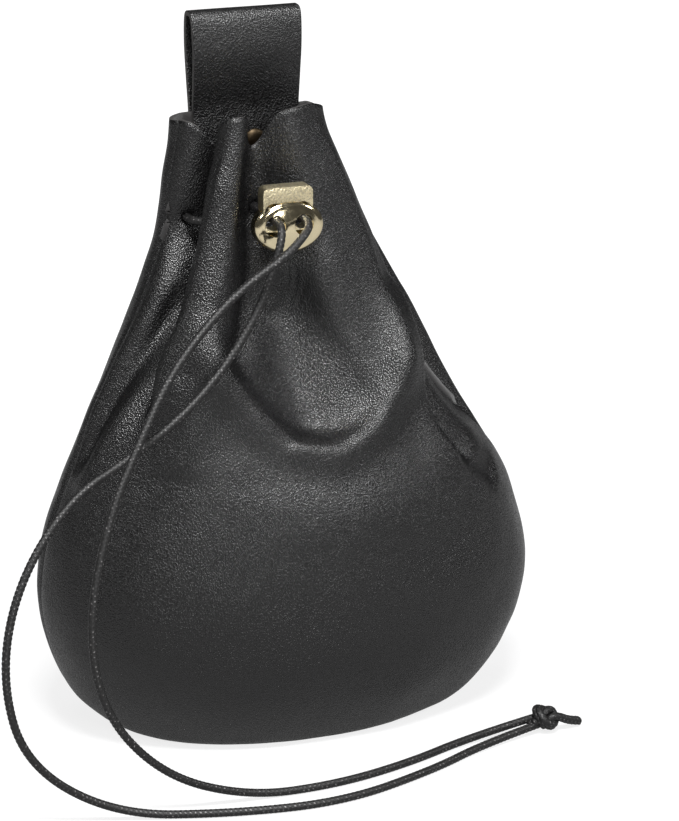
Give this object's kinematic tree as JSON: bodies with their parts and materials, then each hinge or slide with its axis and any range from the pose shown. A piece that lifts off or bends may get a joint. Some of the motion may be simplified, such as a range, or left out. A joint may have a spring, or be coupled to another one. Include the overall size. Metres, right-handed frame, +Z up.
{
  "type": "drawstring dice bag",
  "caption": "Gathered leather dice bag with a belt loop, a spring-loaded cord lock and a drawstring whose two ends share a knot.",
  "frame": {"origin": "on the flat of the base, on the table plane, under the middle of the bag", "axes": "+Z up to the belt loop, +X to the bag's right as seen from the front, -Y towards the front with the cord lock"},
  "size_m": [0.1816, 0.1207, 0.2096],
  "materials": {
    "leather": "satin pebbled",
    "thread": "matte",
    "strap_leather": "satin pebbled",
    "rivet_brass": "polished",
    "lock_brass": "polished",
    "plunger_brass": "sandblasted",
    "spring_steel": "drawn wire",
    "cord": "waxed braid"
  },
  "bodies": {
    "pouch": {"front_panel": "leather", "back_panel": "leather", "seam_thread": "thread", "rivet_post_cap": "rivet_brass", "rivet_rear_cap": "rivet_brass", "drawstring_neck_run": "cord"},
    "loop": {"belt_loop": "strap_leather"},
    "cord_lock": {"lock_body": "lock_brass", "lock_spring": "spring_steel", "drawstring_left_tail": "cord", "drawstring_right_tail": "cord", "end_knot": "cord"},
    "plunger": {"lock_plunger": "plunger_brass"}
  },
  "joints": [
    {"name": "cord_pull", "type": "slide", "parent": "pouch", "child": "cord_lock", "axis": [0, -1, 0], "range_m": [0, 0.008]},
    {"name": "plunger_press", "type": "slide", "parent": "cord_lock", "child": "plunger", "axis": [0, 0, -1], "range_m": [0, 0.0036], "stiffness_N_per_m": 400, "springref_m": -0.004, "deforming": ["lock_spring"]},
    {"name": "loop_swivel", "type": "hinge", "parent": "pouch", "child": "loop", "pos_m": [-0.0027, 0.0186, 0.1714], "axis": [0, 1, 0], "range_deg": [-5, 5]}
  ]
}
